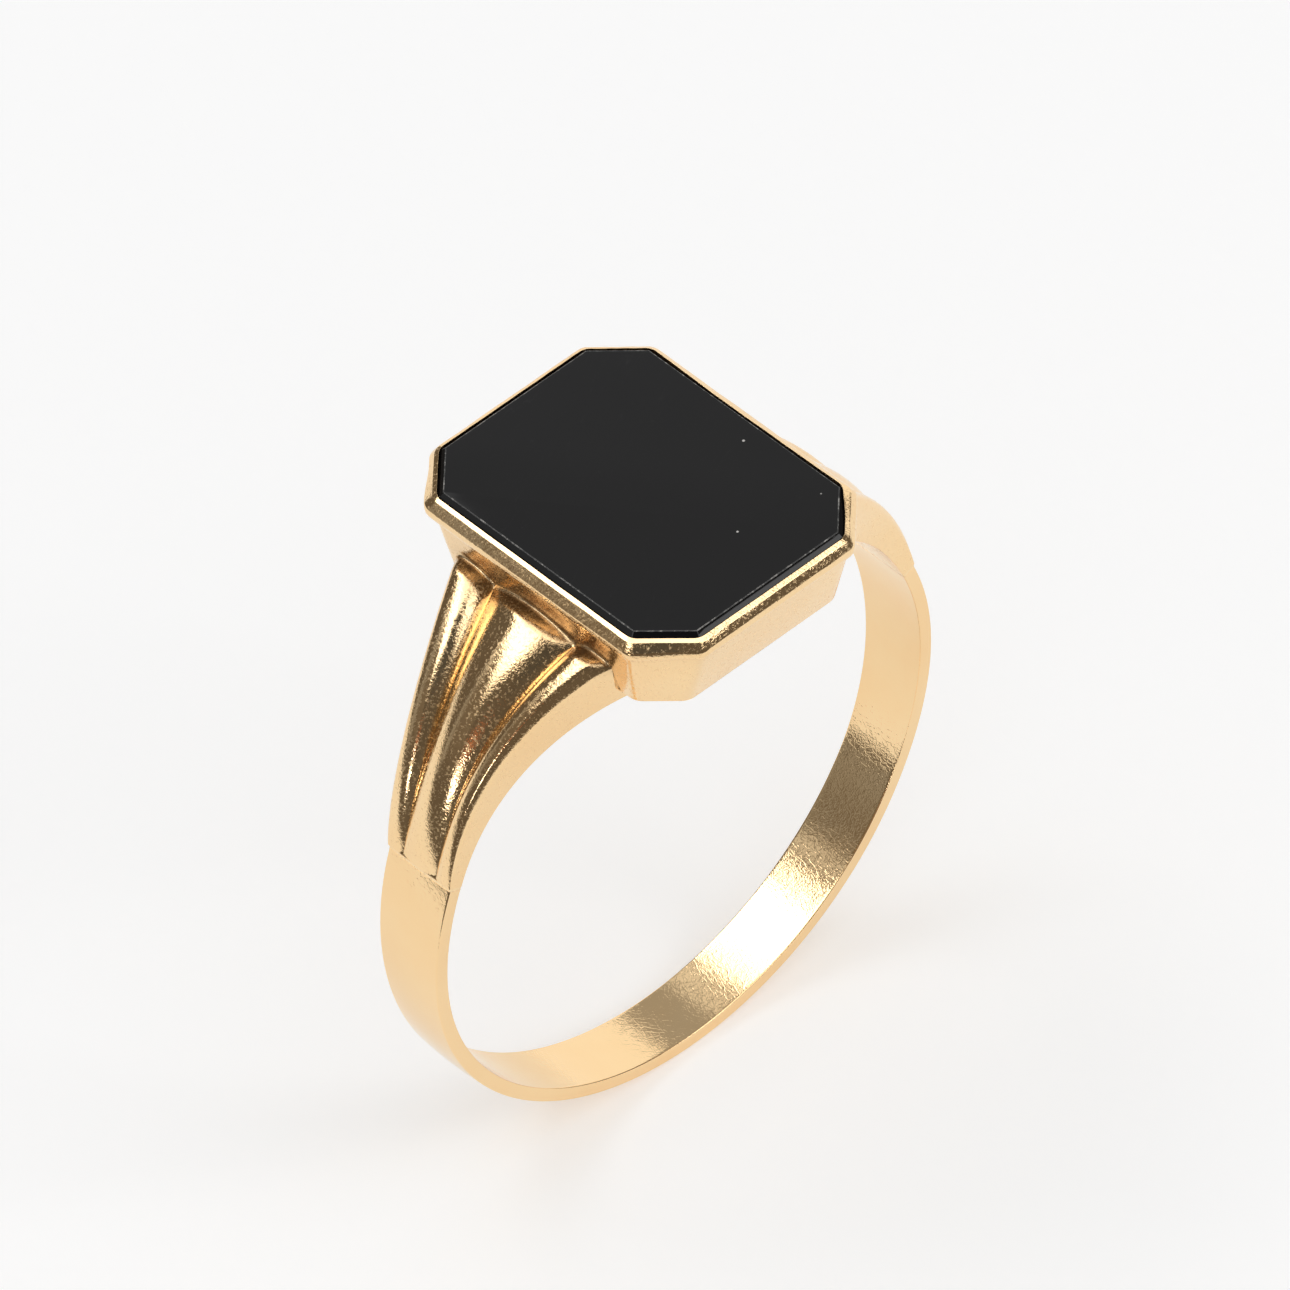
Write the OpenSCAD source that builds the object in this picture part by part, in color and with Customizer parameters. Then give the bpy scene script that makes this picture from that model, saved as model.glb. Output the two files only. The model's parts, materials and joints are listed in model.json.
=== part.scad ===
// Signet ring: a thin gold band, two reeded shoulders and an eight-sided collet that holds a flat black stone.
// Millimetres. The origin is the centre of the finger hole. +Y runs along the finger, +Z towards the stone
// and +X across the hand. Angles round the band are measured from its lowest point.

/* [Finger hole and band] */
// Radius of the finger hole
bore_r = 8.6; // [8.2:0.1:9.6]
// Width of the band at the bottom of the ring
band_w = 1.91; // [1.7:0.05:2.1]
// Width of the band where it meets the shoulders
band_top_w = 2.37; // [2.2:0.01:2.6]
// Thickness of the band along its two edges
band_edge_t = 0.34; // [0.3:0.01:0.42]
// How much thicker the band is along its middle
band_crown = 0.12; // [0.05:0.01:0.16]

/* [Shoulders] */
// Angle from the bottom of the ring at which a shoulder starts
shoulder_angle = 111.2; // [108:0.2:116]
// Width of a shoulder where it reaches the collet
shoulder_w = 5.9; // [5:0.1:6.2]
// Thickness of a shoulder along its edges, at its start
shoulder_edge_t = 0.5; // [0.48:0.01:0.56]
// How much the edges thicken on the way to the collet
shoulder_edge_rise = 1; // [0.7:0.05:1.1]
// How much the floor of the two grooves rises on the way to the collet
groove_rise = 1.22; // [0.9:0.01:1.3]
// Share of the shoulder's width that the middle reed takes
reed_share = 0.53; // [0.4:0.01:0.6]
// Height of the middle reed above its grooves, at the collet
middle_reed_h = 0.72; // [0.4:0.01:0.8]
// Height of the two outer reeds above their grooves, at the collet
outer_reed_h = 0.46; // [0.3:0.01:0.5]

/* [Collet] */
// Length of the collet's foot along the finger
foot_l = 8.88; // [8.4:0.01:9.2]
// Width of the collet's foot across the hand
foot_w = 7.24; // [7:0.01:7.4]
// Size of the foot's cut corners
foot_cut = 1; // [0.8:0.01:1.2]
// Length of the collet just under the setting rim
collet_l = 10.24; // [10.2:0.01:10.3]
// Width of the collet just under the setting rim
collet_w = 8.04; // [8:0.01:8.1]
// Size of the collet's cut corners under the rim
collet_cut = 1.36; // [1.3:0.01:1.4]
// Height of the collet wall
collet_h = 2.23; // [2.1:0.01:2.4]
// Thickness of the collet wall at its top
wall_top_t = 0.18; // [0.16:0.01:0.19]
// Thickness of the collet wall at its foot
wall_foot_t = 0.37; // [0.3:0.01:0.4]
// Height of the setting rim above the wall
rim_h = 0.36; // [0.32:0.01:0.42]
// How far the setting rim stands out past the wall
rim_out = 0.12; // [0.08:0.01:0.15]
// How far the rim's lip reaches in over the stone's bevel
lip_in = 0.09; // [0.05:0.01:0.1]
// Width of the seat that carries the stone
bearing_w = 0.3; // [0.2:0.01:0.4]
// Thickness of the plate at the foot of the collet
back_plate_t = 0.3; // [0.25:0.01:0.4]
// Width of the plate's frame round its opening
back_frame_w = 0.9; // [0.6:0.05:1.4]

/* [Stone] */
// Thickness of the stone from its table to its back
stone_t = 1.39; // [1.2:0.01:1.5]
// Width and height of the polished bevel round the table
stone_bevel = 0.19; // [0.16:0.01:0.2]
// How far the table stands above the rim
stone_rise = 0.1; // [0.06:0.01:0.1]
// Play between the stone's edge and the metal
stone_play = 0.01; // [0.005:0.005:0.02]

/* [Hidden] */
$fn = 96;

// Solder film between a shoulder and the collet, and half the angle that a band seam takes up.
head_film = 0.06;
seam_half_angle = 0.3;

// How far a block that only serves to cut or to be cut runs on past the metal it shapes.
overrun = 2;

// The band starts to widen at this share of the finger hole's radius below its centre.
widening_start = 0.3;

// Facets of a full turn round the band.
band_facets = 180;

// Heights, upwards from the top of the finger hole, where the collet stands on the bore.
foot_z = bore_r;
wall_top_z = foot_z + collet_h;
rim_top_z = wall_top_z + rim_h;
table_z = rim_top_z + stone_rise;
stone_back_z = table_z - stone_t;

// A shoulder's angles: where its reeds round over, where they stop, where it is inside the collet wall, and
// where its thin tongue under the collet ends.
reed_end_angle = 154.6;
reed_stop_angle = 157;
wall_angle = 160.5;
tongue_angle = 168;
middle_angle = 140;

// Room for a shoulder's metal: how deep its block is sunk into the finger hole, how far its surface carries
// on past each side face, and how thick it may get.
shoulder_sink = 0.6;
past_side = 1.35;
room_t = 4;

// The reeds rise from nothing over this share of the shoulder's length, then grow by this power of it.
reed_fade = 0.16;
reed_power = 0.7;

// Places round a shoulder's profile, and rows along its length.
outer_reed_steps = 7;
middle_reed_steps = 12;
flare_steps = 14;
flare_overrun = 6;
body_rows = 22;
end_rows = 6;

// The rim: how much of the wall's thickness it covers, how far in its outer slope reaches at the top, and
// how far its top edge is rounded down there.
rim_seat = 0.04;
rim_slope_in = 0.07;
rim_slope_drop = 0.03;

gold = [0.93, 0.72, 0.42];
pale_gold = [0.95, 0.79, 0.52];
inner_gold = [0.86, 0.64, 0.35];
black = [0.09, 0.09, 0.1];

// An outline is [half width, half length, cut corner, height]: a rectangle with its corners cut at 45 degrees.
function octagon_corners(o) = [
    [-o[0] + o[2], -o[1], o[3]], [o[0] - o[2], -o[1], o[3]],
    [o[0], -o[1] + o[2], o[3]], [o[0], o[1] - o[2], o[3]],
    [o[0] - o[2], o[1], o[3]], [-o[0] + o[2], o[1], o[3]],
    [-o[0], o[1] - o[2], o[3]], [-o[0], -o[1] + o[2], o[3]]];

// The same outline moved inwards by d on every side. Each cut corner keeps its angle.
function inset(o, d) = [o[0] - d, o[1] - d, o[2] - d * (2 - sqrt(2)), o[3]];

// The collet wall's outer outline at height z.
function wall_outline(z) = let (s = (z - foot_z) / collet_h) [
    (foot_w + (collet_w - foot_w) * s) / 2,
    (foot_l + (collet_l - foot_l) * s) / 2,
    foot_cut + (collet_cut - foot_cut) * s,
    z];

// The collet wall's inner outline at height z. The wall is thinner towards its top.
function wall_inner(z) = let (s = (z - foot_z) / collet_h)
    inset(wall_outline(z), wall_foot_t + (wall_top_t - wall_foot_t) * s);

function at_height(o, z) = [o[0], o[1], o[2], z];

// A solid through a stack of outlines, listed from the lowest to the highest.
module octagon_stack(outlines) {
    rows = len(outlines);
    polyhedron(
        points = [for (o = outlines) each octagon_corners(o)],
        faces = concat(
            [[for (j = [0:7]) j]],
            [[for (j = [7:-1:0]) (rows - 1) * 8 + j]],
            [for (i = [0:rows - 2], j = [0:7]) [
                i * 8 + j, (i + 1) * 8 + j, (i + 1) * 8 + (j + 1) % 8, i * 8 + (j + 1) % 8]]));
}

// A closed frame. The outlines go up the outside and come back down the inside.
module octagon_frame(outlines) {
    rows = len(outlines);
    polyhedron(
        points = [for (o = outlines) each octagon_corners(o)],
        faces = [for (i = [0:rows - 1], j = [0:7]) [
            i * 8 + j, ((i + 1) % rows) * 8 + j, ((i + 1) % rows) * 8 + (j + 1) % 8, i * 8 + (j + 1) % 8]]);
}

// The space that the collet takes, grown by d at its sides and its foot.
module collet_space(d = 0) {
    high_z = table_z + overrun;
    octagon_stack([
        inset(at_height(wall_outline(foot_z), foot_z - d), -d),
        inset(wall_outline(high_z), -d)]);
}

// The band's section, with its outer side bowed. Across is the distance from the ring's axis.
module band_section(edge_t) {
    half = band_top_w / 2;
    bow_r = (half * half + band_crown * band_crown) / (2 * band_crown);
    intersection() {
        translate([bore_r, -half])
            square([edge_t + band_crown, band_top_w]);
        translate([bore_r + edge_t + band_crown - bow_r, 0])
            circle(r = bow_r, $fn = band_facets);
    }
}

// A stretch of band from one angle to another, both measured from the bottom towards +X.
module band_stretch(from_angle, to_angle, edge_t) {
    rotate([90, 0, 0])
        rotate([0, 0, from_angle - 90])
            rotate_extrude(angle = to_angle - from_angle, $fn = band_facets)
                band_section(edge_t);
}

// The band seen along X: even near the bottom, then widening steadily up to the shoulders.
module band_outline() {
    narrow = band_w / 2;
    wide = band_top_w / 2;
    low_z = -widening_start * bore_r;
    high_z = -bore_r * cos(shoulder_angle + seam_half_angle);
    deep_z = -bore_r - overrun;
    rotate([90, 0, 90])
        linear_extrude(height = 2 * (bore_r + overrun), center = true)
            polygon([
                [-narrow, deep_z], [narrow, deep_z], [narrow, low_z], [wide, high_z],
                [wide, bore_r], [-wide, bore_r], [-wide, high_z], [-narrow, low_z]]);
}

module shank() {
    end_angle = shoulder_angle - seam_half_angle;
    color(gold)
        intersection() {
            band_stretch(-end_angle, end_angle, band_edge_t);
            band_outline();
        }
}

// How far along a shoulder an angle is: 0 at its start and 1 at the collet wall.
function along(angle) = (angle - shoulder_angle) / (wall_angle - shoulder_angle);

// Half a shoulder's width. It flares like a fan, slowly at first, and stops widening at the wall.
function shoulder_half(u) = let (s = max(0, min(u, 1)))
    band_top_w / 2 + (shoulder_w - band_top_w) / 2 * s * s;

// The same at a place in the shoulder's side view. The side faces are cut square to the ring's surface at
// middle_angle, so their outline is drawn along a line there.
function half_at(r, angle) = shoulder_half(along(
    middle_angle + asin(max(-1, min(1, r * sin(angle - middle_angle) / bore_r)))));

// A reed's height along the shoulder. It grows from the step and rounds over just before the wall.
function reed_growth(u) = let (
        start = min(1, u / reed_fade),
        last = along(reed_end_angle),
        over = min(1, max(0, (u - last) / (along(reed_stop_angle) - last))))
    pow(max(u, 0), reed_power) * start * sqrt(max(0, 1 - over * over));

// Height of the shoulder's outer surface over the finger hole. v runs from -1 to 1 across its width, and past
// a side face the surface carries on level.
function shoulder_height(u, v) = let (
        s = min(u, 1),
        edge = shoulder_edge_t + shoulder_edge_rise * s,
        groove = shoulder_edge_t + groove_rise * s,
        side = abs(v),
        middle_at = side / reed_share,
        outer_at = min(1, (side - reed_share) / (1 - reed_share)),
        bow = 2 * outer_at - 1)
    side <= reed_share
    ? groove + middle_reed_h * reed_growth(u) * (1 - middle_at * middle_at)
    : groove + (edge - groove) * outer_at + outer_reed_h * reed_growth(u) * (1 - bow * bow);

// The two outermost places are past the side faces.
profile_places = concat(
    [-past_side],
    [for (i = [0:outer_reed_steps - 1]) -1 + (1 - reed_share) * i / outer_reed_steps],
    [for (i = [0:middle_reed_steps - 1]) reed_share * (2 * i / middle_reed_steps - 1)],
    [for (i = [0:outer_reed_steps]) reed_share + (1 - reed_share) * i / outer_reed_steps],
    [past_side]);

function shoulder_angles(first) = concat(
    [for (i = [0:body_rows - 1]) first + (reed_end_angle - first) * i / body_rows],
    [for (i = [0:end_rows]) reed_end_angle + (reed_stop_angle - reed_end_angle) * i / end_rows],
    [wall_angle, tongue_angle + overrun]);

function polar(r, y, angle) = [-r * sin(angle), y, -r * cos(angle)];

// The room that a shoulder may fill, on the -X side: outside the finger hole, between its two side faces,
// and from its start to its tongue.
module shoulder_room() {
    first = shoulder_angle + seam_half_angle;
    outline_start = first - flare_overrun;
    outline_angles = [for (i = [0:flare_steps])
        outline_start + (wall_angle - outline_start) * i / flare_steps];
    far_s = bore_r;
    near_s = bore_r * sin(outline_start - middle_angle) - overrun;
    one_side = concat(
        [[near_s, band_top_w / 2]],
        [for (a = outline_angles) [bore_r * sin(a - middle_angle), shoulder_half(along(a))]],
        [[far_s, shoulder_w / 2]]);
    other_side = [for (i = [len(one_side) - 1:-1:0]) [one_side[i][0], -one_side[i][1]]];
    intersection() {
        rotate([90, 0, 0])
            rotate([0, 0, 270 - tongue_angle])
                rotate_extrude(angle = tongue_angle - first, $fn = band_facets)
                    translate([bore_r, -shoulder_w])
                        square([room_t, shoulder_w * 2]);
        rotate([0, middle_angle + 180, 0])
            linear_extrude(height = bore_r + room_t)
                polygon(concat(one_side, other_side));
    }
}

// A block under a shoulder's reeded surface, on the -X side, larger than the shoulder on every other side.
// Each row of points runs across the outer surface and back along the inner one.
module reeded_block() {
    angles = shoulder_angles(shoulder_angle - overrun / 2);
    rows = len(angles);
    across = len(profile_places);
    ring = 2 * across;
    last_row = (rows - 1) * ring;
    sunk_r = bore_r - shoulder_sink;
    points = [for (a = angles) let (u = along(a)) each concat(
        [for (v = profile_places) let (r = bore_r + shoulder_height(u, v)) polar(r, v * half_at(r, a), a)],
        [for (v = profile_places) polar(sunk_r, -v * half_at(sunk_r, a), a)])];
    polyhedron(
        points = points,
        faces = concat(
            [for (j = [0:across - 2]) each [
                [j, ring - 1 - j, j + 1],
                [j + 1, ring - 1 - j, ring - 2 - j]]],
            [for (j = [0:across - 2]) each [
                [last_row + j, last_row + j + 1, last_row + ring - 1 - j],
                [last_row + j + 1, last_row + ring - 2 - j, last_row + ring - 1 - j]]],
            [for (i = [0:rows - 2], j = [0:ring - 1]) each let (
                k = (j + 1) % ring,
                a = i * ring + j,
                b = i * ring + k,
                c = (i + 1) * ring + k,
                d = (i + 1) * ring + j) [[a, b, c], [a, c, d]]]));
}

module shoulder() {
    intersection() {
        reeded_block();
        difference() {
            shoulder_room();
            collet_space(head_film);
        }
    }
}

module left_shoulder() {
    color(gold)
        shoulder();
}

module right_shoulder() {
    color(gold)
        mirror([1, 0, 0])
            shoulder();
}

// The film of solder that joins a shoulder to the wall and to the foot of the collet.
module head_solder() {
    intersection() {
        reeded_block();
        difference() {
            intersection() {
                shoulder_room();
                collet_space(head_film);
            }
            collet_space();
        }
    }
}

module left_head_solder() {
    color(pale_gold)
        head_solder();
}

module right_head_solder() {
    color(pale_gold)
        mirror([1, 0, 0])
            head_solder();
}

// The seam between the band and a shoulder.
module shank_solder() {
    color(pale_gold)
        intersection() {
            band_stretch(shoulder_angle - seam_half_angle, shoulder_angle + seam_half_angle, band_edge_t);
            band_outline();
        }
}

module left_shank_solder() {
    mirror([1, 0, 0])
        shank_solder();
}

module right_shank_solder() {
    shank_solder();
}

module collet_wall() {
    color(gold)
        octagon_frame([
            wall_outline(foot_z), wall_outline(wall_top_z), wall_inner(wall_top_z), wall_inner(foot_z)]);
}

// The stone's widest outline, which the rim closes round.
function stone_girdle(z) = inset(at_height(wall_outline(wall_top_z), z), wall_top_t - rim_seat);

// The rim stands on the wall, bulges outwards, slopes in, and closes over the stone's bevel.
module setting_rim() {
    top = wall_outline(wall_top_z);
    bed = inset(stone_girdle(wall_top_z), -stone_play);
    color(gold)
        octagon_frame([
            inset(top, -rim_out / 2),
            inset(at_height(top, wall_top_z + rim_h / 8), -rim_out),
            inset(at_height(top, wall_top_z + rim_h / 4), -rim_out),
            inset(at_height(top, rim_top_z - rim_slope_drop), rim_slope_in),
            inset(at_height(bed, rim_top_z), lip_in),
            at_height(bed, rim_top_z - lip_in),
            bed]);
}

// The seat inside the wall. The stone rests on its top edge.
module bearing_ledge() {
    high = wall_inner(stone_back_z);
    low = wall_inner(foot_z + back_plate_t);
    color(inner_gold)
        octagon_frame([low, high, inset(high, bearing_w), inset(low, bearing_w)]);
}

// The plate that closes the foot of the collet, open in its middle.
module back_plate() {
    low = wall_inner(foot_z);
    high = wall_inner(foot_z + back_plate_t);
    opening = inset(low, back_frame_w);
    color(inner_gold)
        octagon_frame([low, high, at_height(opening, high[3]), opening]);
}

// The stone: a flat table with a narrow bevel, an upright edge in the rim, and sides that taper to the back.
module onyx_tablet() {
    wide = stone_girdle(rim_top_z);
    color(black)
        octagon_stack([
            inset(wall_inner(stone_back_z), stone_play * 4),
            inset(wall_inner(wall_top_z), stone_play * 2),
            at_height(wide, wall_top_z + rim_h / 2),
            at_height(wide, table_z - stone_bevel),
            inset(at_height(wide, table_z), stone_bevel)]);
}

shank();
left_shoulder();
right_shoulder();
collet_wall();
setting_rim();
bearing_ledge();
back_plate();
onyx_tablet();
left_head_solder();
right_head_solder();
left_shank_solder();
right_shank_solder();
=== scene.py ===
"""Looks of a gold signet ring: reeded shoulders, a tapered octagon collet and a flat black stone.

Shapes are worked out in millimetres in the part's own frame and turned into metres as each mesh is made.
Angles round the band are in degrees, from its lowest point towards +X.
"""

import json
import math

import bmesh
import bpy
from mathutils import Matrix, Vector, noise


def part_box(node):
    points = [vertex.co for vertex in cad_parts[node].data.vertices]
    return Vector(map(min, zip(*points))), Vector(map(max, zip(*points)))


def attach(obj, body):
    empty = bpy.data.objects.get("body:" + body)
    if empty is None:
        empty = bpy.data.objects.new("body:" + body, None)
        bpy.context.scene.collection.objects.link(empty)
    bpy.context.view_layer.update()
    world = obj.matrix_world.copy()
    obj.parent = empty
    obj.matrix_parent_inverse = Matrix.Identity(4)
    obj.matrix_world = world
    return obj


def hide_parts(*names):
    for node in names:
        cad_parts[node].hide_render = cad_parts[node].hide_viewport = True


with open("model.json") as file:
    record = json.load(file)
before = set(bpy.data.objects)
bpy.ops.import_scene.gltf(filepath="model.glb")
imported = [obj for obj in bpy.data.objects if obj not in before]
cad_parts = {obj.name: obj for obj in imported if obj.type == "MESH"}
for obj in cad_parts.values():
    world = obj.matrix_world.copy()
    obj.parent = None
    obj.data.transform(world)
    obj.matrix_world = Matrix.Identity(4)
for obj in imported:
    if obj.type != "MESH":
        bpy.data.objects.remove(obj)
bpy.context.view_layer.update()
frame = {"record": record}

MM = 0.001


# Sizes that the frame gives

def box_mm(node):
    low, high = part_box(node)
    return low / MM, high / MM


def angle_of(x, z):
    return math.degrees(math.atan2(x, -z))


bore_r = frame["record"]["mounts"][0]["dims"]["r_mm"]
band_low = box_mm("shank")[0]
wall_low, wall_high = box_mm("collet_wall")
rim_high = box_mm("setting_rim")[1]
stone_low, stone_high = box_mm("onyx_tablet")
ledge_low, ledge_high = box_mm("bearing_ledge")
plate_low, plate_high = box_mm("back_plate")
seam_low, seam_high = box_mm("right_shank_solder")
shoulder_high = box_mm("right_shoulder")[1]

# The collet's foot is a little lower than the CAD's, and the shoulders are a little wider at the head.
foot_drop = 0.13
shoulder_spread = 0.17

foot_z = wall_low.z - foot_drop
wall_top_z = wall_high.z
seam_angle = angle_of((seam_low.x + seam_high.x) / 2, (seam_low.z + seam_high.z) / 2)
band_wide_half = seam_high.y
shoulder_half = shoulder_high.y + shoulder_spread
band_t = -band_low.z - bore_r


# Sizes of the details, in millimetres and degrees

# Band: half its width at the bottom, and the angles from which and over which it widens.
band_narrow_half = 0.955
band_widens_from = 58.0
band_widens_over = 60.0
# The thickness and the rounding of its edges.
band_edge_t = 0.41
band_edge_round = 0.045

# Shoulder: the angles where its inside meets the wall, and where its reeds start and stop rounding over.
wall_angle = 160.5
reed_round_angle = 155.2
reed_stop_angle = 160.0
# Beyond the wall it runs on as a flat tongue, level with the collet's foot.
foot_edge_angle = 161.8
tongue_from_angle = 163.0
tongue_angle = 168.0
# How sharply it widens, how far it leans towards +Y, and how far its outermost reed bulges that way.
flare_power = 2.2
shoulder_shift = 0.15
reed_bulge = 0.2
# How much lower the right shoulder's reeds lie at the wall than the left one's.
right_drop = 0.30
# The rounding of its long edges, and the share of its half width that its top and its inside cover.
shoulder_edge_round = 0.05
top_reach = 0.95
inner_reach = 0.9
# The step at the seam: its height, and how fast it falls away along the shoulder.
step_h = 0.05
step_fade = 4.0
# Shares of the shoulder's half width at which the middle reed's crease and the outer reed's crest lie.
reed_share = 0.53
outer_crest = 0.79
# Height of the creases: at the seam, its rise on the way to the wall, and how much that rise bends over.
groove_start_h = 0.42
groove_rise = 1.28
groove_bend = 0.27
# Height of the shoulder's outer edges: at the seam, and its rise on the way to the wall.
edge_start_h = 0.42
edge_rise = 0.80
# Height of the reeds above the creases at the wall, and how they grow towards it.
middle_reed_h = 0.62
outer_reed_h = 0.56
reed_lead = 0.035
reed_power = 0.75
# The shape of a reed's arch and of the outer reed's flank, and the share of its height left at its end.
arch_power = 0.8
flank_power = 3.2
end_keep = 0.3
crease_round = 0.016
# Where the search for the angle at which a reed meets the wall starts, and how many rounds it takes.
search_from_angle = 158.0
search_rounds = 12

# Solder: half of the band seam's length as an angle, and the leg of the bead at the wall.
seam_half_angle = 0.3
bead_leg = 0.12
# How far the seam stands clear of the finger hole, and how far the bead's hidden edge lies in the metal.
seam_lift = 0.002
bead_sink = Vector((-0.03, 0, -0.05))

# Collet: the half sizes and cut corner of its foot, the cut corner of its top, and its wall's thickness.
foot_half = (3.62, 4.44)
foot_cut = 1.0
top_cut = 1.36
wall_foot_t = 0.37
wall_top_t = 0.18
# The rounding of the foot's outer edge, and how far in the flat of its underside starts.
foot_round = 0.06
foot_flat = 0.14
# The rounding of the collet's eight upright corners outside and inside, and of the rim's.
collet_corner_r = 0.26
inner_corner_r = 0.08
rim_corner_r = 0.22

# Rim: how far it stands out past the wall, and how far its upright part reaches down over it.
rim_out = 0.12
rim_skirt = 0.22
# How far out its top edge lies, and the share of the stone's bevel that its lip covers.
rim_top_out = -0.03
lip_cover = 0.12
# It is thicker on the long side towards -X, and its lip covers more of the bevel on the one towards +X.
thick_side = 0.08
far_cover = 0.1
# Both of these fade in over one millimetre, from this far out along X.
side_from_x = 3.0
# It is uneven from the hand that pushed it over: by this much in broad waves and in fine ones.
wobble_broad = 0.012
wobble_fine = 0.006

# Stone: the width and height of its bevel, the rounding of its table's edge, and its play in the rim.
bevel_w = 0.19
table_edge = 0.014
stone_play = 0.01

# Bearing ledge and back plate: the width of each frame, and the rounding of its edges.
ledge_w = 0.3
ledge_round = 0.03
plate_frame_w = 0.9
plate_round = 0.05
plate_corner_r = 0.2

# Grime and painted shade darken the hollows by the collet to brown. They start at one height and are full
# at the other.
grime_and_shade_from_z = 8.9
grime_and_shade_full_z = 9.6


# Small helpers

def clamp(value, low=0.0, high=1.0):
    return max(low, min(high, value))


def mix(a, b, t):
    return a + (b - a) * t


def smooth(t):
    t = clamp(t)
    return t * t * (3 - 2 * t)


def soft_max(a, b, width):
    """The larger of two heights, with the crease between them rounded."""
    return 0.5 * (a + b + math.sqrt((a - b) ** 2 + width ** 2))


def polar(r, y, angle):
    turn = math.radians(angle)
    return (r * math.sin(turn), y, -r * math.cos(turn))


def spread(start, end, steps):
    return [mix(start, end, i / steps) for i in range(steps + 1)]


def rounded(corners, steps=5):
    """A path through (a, b, size) corners. Each corner is rounded over that size along both its sides."""
    path = []
    for i, (a, b, size) in enumerate(corners):
        if size == 0 or i in (0, len(corners) - 1):
            path.append((a, b))
            continue
        here = Vector((a, b))
        before = Vector(corners[i - 1][:2]) - here
        after = Vector(corners[i + 1][:2]) - here
        start = here + before.normalized() * min(size, before.length / 2)
        end = here + after.normalized() * min(size, after.length / 2)
        for k in range(steps + 1):
            t = k / steps
            point = start * (1 - t) ** 2 + here * 2 * t * (1 - t) + end * t * t
            path.append((point.x, point.y))
    return path


def make_piece(name, points, faces, replaced, sharp_angle=50):
    mesh = bpy.data.meshes.new(name)
    mesh.from_pydata([[c * MM for c in p] for p in points], [], faces)
    work = bmesh.new()
    work.from_mesh(mesh)
    bmesh.ops.remove_doubles(work, verts=work.verts, dist=1e-8)
    bmesh.ops.recalc_face_normals(work, faces=work.faces)
    work.to_mesh(mesh)
    work.free()
    for face in mesh.polygons:
        face.use_smooth = len(face.vertices) < 5
    mesh.set_sharp_from_angle(angle=math.radians(sharp_angle))
    piece = bpy.data.objects.new(name, mesh)
    bpy.context.scene.collection.objects.link(piece)
    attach(piece, "root")
    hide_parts(*replaced)
    return piece


def loft(rings, joined=False):
    """Points and faces of a skin through closed rings. It ends in flat caps, or joins back to its start."""
    around = len(rings[0])
    points = [p for ring in rings for p in ring]
    faces = []
    spans = len(rings) if joined else len(rings) - 1
    for i in range(spans):
        here = i * around
        there = ((i + 1) % len(rings)) * around
        for j in range(around):
            k = (j + 1) % around
            faces.append((here + j, there + j, there + k, here + k))
    if not joined:
        faces.append(tuple(range(around)))
        faces.append(tuple(range(len(points) - 1, len(points) - around - 1, -1)))
    return points, faces


def mirrored(points, faces):
    return [(-x, y, z) for x, y, z in points], [tuple(reversed(f)) for f in faces]


# Band

def band_half(angle):
    widened = smooth((abs(angle) - band_widens_from) / band_widens_over)
    return mix(band_narrow_half, band_wide_half, widened)


def band_height(v):
    """Height of the band's outside over the finger hole, across its width. v runs from -1 to 1."""
    return mix(band_t, band_edge_t, v * v)


def band_ring(angle):
    half = band_half(angle)
    size = band_edge_round
    outer = [(half * v, band_height(v)) for v in spread(-0.9, 0.9, 22)]
    right = rounded([
        (half * 0.91, band_height(0.91), 0),
        (half, band_edge_t, size),
        (half, 0.0, size * 0.8),
        (half * 0.9, 0.0, 0)])
    inner = [(half * v, 0.0) for v in spread(0.88, -0.88, 14)]
    left = [(-y, h) for y, h in reversed(right)]
    return [polar(bore_r + h, y, angle) for y, h in outer + right + inner + left]


def build_band():
    end = seam_angle - seam_half_angle
    rings = [band_ring(angle) for angle in spread(-end, end, 300)]
    points, faces = loft(rings)
    return make_piece("gold_shank", points, faces, ["shank"])


# Shoulders

def along(angle):
    """How far along the shoulder an angle is: 0 at the seam and 1 at the wall."""
    return (angle - seam_angle) / (wall_angle - seam_angle)


def shoulder_width_half(angle):
    u = clamp(along(angle))
    return mix(band_wide_half, shoulder_half, u ** flare_power)


def shoulder_y(angle, v):
    """Where a place across the shoulder lies along Y.

    The shoulders lean a little towards +Y as they rise, and their outermost reed bulges that way."""
    u = clamp(along(angle))
    lean = shoulder_shift * u ** 2
    bulge = reed_bulge * math.sqrt(4 * u * (1 - u)) * max(v, 0) ** 4
    return shoulder_width_half(angle) * v + lean + bulge


def shoulder_height(angle, v, drop=0.0):
    """Height over the finger hole of three rounded reeds with a crease between them."""
    u = max(along(angle), 0.0)
    side = abs(v)
    groove = groove_start_h + groove_rise * u - groove_bend * u * u
    growth = (u + reed_lead) ** reed_power
    fall = smooth((angle - reed_round_angle) / (reed_stop_angle - reed_round_angle))
    if side < reed_share:
        arch = math.cos(side / reed_share * math.pi / 2) ** arch_power
        top = groove + middle_reed_h * growth * arch
    elif side < outer_crest:
        arch = math.sin((side - reed_share) / (outer_crest - reed_share) * math.pi / 2) ** arch_power
        top = groove + outer_reed_h * growth * arch
    else:
        place = (side - outer_crest) / (1 - outer_crest)
        arch = (1 - place ** flank_power) ** (1 / flank_power)
        crest = groove + outer_reed_h * growth
        top = mix(min(edge_start_h + edge_rise * u, crest), crest, arch)
    top = mix(top, mix(groove, top, end_keep), fall) - drop * u
    step = band_height(v) + step_h - step_fade * u
    return soft_max(top, step, crease_round)


def wall_x(z):
    """How far the collet wall's long side stands from the middle at height z."""
    return mix(foot_half[0], wall_high.x, (z - foot_z) / (wall_top_z - foot_z))


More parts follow.
